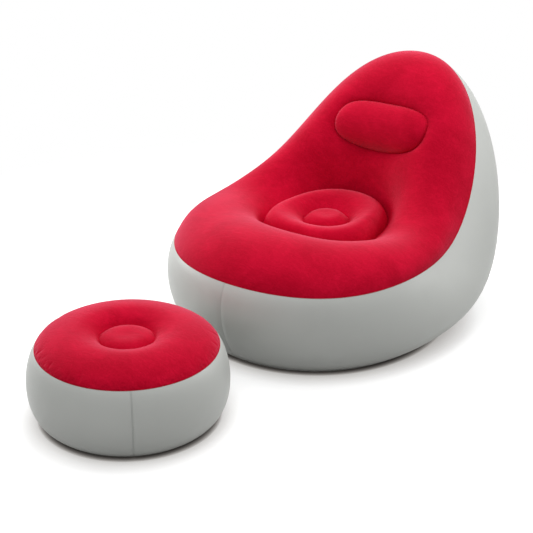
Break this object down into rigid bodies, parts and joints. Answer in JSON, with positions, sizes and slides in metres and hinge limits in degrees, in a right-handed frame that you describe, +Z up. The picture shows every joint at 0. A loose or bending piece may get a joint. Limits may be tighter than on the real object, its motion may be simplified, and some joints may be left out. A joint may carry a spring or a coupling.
{
  "type": "inflatable lounge chair",
  "caption": "Air-filled lounge chair with a high sloping back, a velour top drawn in round a seat pad and a head pillow, smooth side walls, and a matching round footstool.",
  "frame": {"origin": "middle of the chair's own flat floor face, just ahead of the middle of the seat's button; the footstool stands ahead of the chair", "axes": "+Z up; the chair faces -Y, towards the footstool; +X is the right side seen from behind the chair"},
  "size_m": [0.9922, 1.8961, 0.7528],
  "materials": {
    "velour": "short velour flock on vinyl film, deep red",
    "velour_weld": "pressed weld line in the velour",
    "wall": "satin vinyl film, light grey",
    "wall_weld": "pressed weld line in satin vinyl",
    "inner_film": "translucent vinyl film",
    "valve": "soft moulded vinyl"
  },
  "bodies": {
    "chair": {"bolster_skin": "velour", "seat_pad_skin": "velour", "seat_button_skin": "velour", "head_pillow_skin": "velour", "right_wall_skin": "wall", "left_wall_skin": "wall", "floor_skin": "wall", "front_wall_weld": "wall_weld", "rear_wall_weld": "wall_weld", "floor_weld": "wall_weld", "rim_weld": "velour_weld", "pad_crease_weld": "velour_weld", "button_crease_weld": "velour_weld", "pillow_crease_weld": "velour_weld", "seat_tie_wall": "inner_film", "button_tie_wall": "inner_film", "pillow_tie_sheet": "inner_film", "valve_body": "valve"},
    "footstool": {"footstool_top_skin": "velour", "footstool_button_skin": "velour", "footstool_wall_skin": "wall", "footstool_floor_skin": "wall", "footstool_rim_weld": "velour_weld", "footstool_crease_weld": "velour_weld", "footstool_floor_weld": "wall_weld", "footstool_wall_weld": "wall_weld", "footstool_tie_wall": "inner_film", "footstool_valve_body": "valve"},
    "chair_valve_cap": {"valve_cap": "valve"},
    "chair_valve_flap": {"valve_flap": "inner_film"},
    "footstool_valve_cap": {"footstool_valve_cap": "valve"},
    "footstool_valve_flap": {"footstool_valve_flap": "inner_film"}
  },
  "joints": [
    {"name": "footstool_slide", "type": "slide", "parent": "chair", "child": "footstool", "axis": [0, -1, 0], "range_m": [-0.05, 0.6]},
    {"name": "valve_cap_hinge", "type": "hinge", "parent": "chair", "child": "chair_valve_cap", "pos_m": [0.08342, 0.63923, 0.31353], "axis": [-0.9893, 0.1457, 0], "range_deg": [0, 150]},
    {"name": "valve_flap_hinge", "type": "hinge", "parent": "chair", "child": "chair_valve_flap", "pos_m": [0.08112, 0.62362, 0.32876], "axis": [0.9893, -0.1457, 0], "range_deg": [0, 40]},
    {"name": "footstool_valve_cap_hinge", "type": "hinge", "parent": "footstool", "child": "footstool_valve_cap", "pos_m": [-0.35326, -0.90174, 0.11104], "axis": [-0.0208, -0.9998, 0], "range_deg": [0, 150]},
    {"name": "footstool_valve_flap_hinge", "type": "hinge", "parent": "footstool", "child": "footstool_valve_flap", "pos_m": [-0.33289, -0.90217, 0.11917], "axis": [0.0208, 0.9998, 0], "range_deg": [0, 40]}
  ]
}
